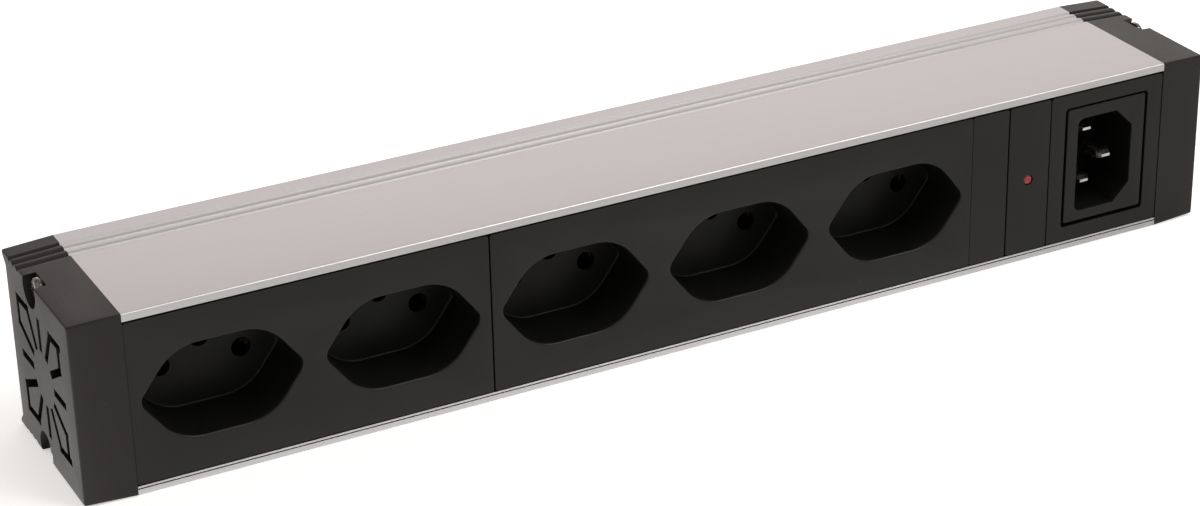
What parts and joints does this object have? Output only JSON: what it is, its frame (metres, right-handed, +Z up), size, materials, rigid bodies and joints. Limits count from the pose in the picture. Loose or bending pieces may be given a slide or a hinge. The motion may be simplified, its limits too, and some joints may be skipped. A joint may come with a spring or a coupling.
{
  "type": "power strip",
  "caption": "Short desk power strip: aluminium extrusion with recessed three-pin sockets, a small red indicator, an appliance inlet and vented black end caps.",
  "frame": {"origin": "middle of the footprint, on the surface the strip rests on", "axes": "+X along the strip towards the inlet end, -Y out of the sockets, +Z up"},
  "size_m": [0.2936, 0.0444, 0.044],
  "materials": {
    "anodised_aluminium": "satin anodised, fine lines along the strip",
    "cap_plastic": "fine texture",
    "panel_plastic": "satin moulded",
    "tray_plastic": "moulded",
    "steel": "zinc plated",
    "nickel": "nickel plated",
    "brass": "stamped",
    "tinned_brass": "tinned",
    "lens": "translucent red",
    "led": "clear red epoxy",
    "board": "solder mask",
    "resistor": "lacquer",
    "thin_wire": "insulation",
    "line_insulation": "insulation",
    "neutral_insulation": "insulation",
    "earth_insulation": "insulation"
  },
  "bodies": {
    "root": {"aluminium_profile": "anodised_aluminium", "end_cap_left": "cap_plastic", "end_cap_right": "cap_plastic", "end_cap_screws": "steel", "double_socket_front": "panel_plastic", "triple_socket_front": "panel_plastic", "double_socket_back": "tray_plastic", "triple_socket_back": "tray_plastic", "socket_block_screws": "steel", "rail_rivets": "brass", "blank_plate": "panel_plastic", "indicator_plate": "panel_plastic", "indicator_lens": "lens", "indicator_led": "led", "indicator_board": "board", "indicator_resistors": "resistor", "indicator_wires": "thin_wire", "inlet_plate": "panel_plastic", "inlet_body": "panel_plastic", "wire_terminals": "tinned_brass", "earth_ring_terminal": "tinned_brass", "earth_screw": "steel", "earth_bond_wire": "earth_insulation", "line_rail_double": "brass", "neutral_rail_double": "brass", "earth_rail_double": "brass", "line_rail_triple": "brass", "neutral_rail_triple": "brass", "earth_rail_triple": "brass", "line_link": "brass", "neutral_link": "brass", "earth_link": "brass", "inlet_line_pin": "nickel", "inlet_neutral_pin": "nickel", "inlet_earth_pin": "nickel", "line_wire": "line_insulation", "neutral_wire": "neutral_insulation", "earth_wire": "earth_insulation"}
  },
  "joints": []
}
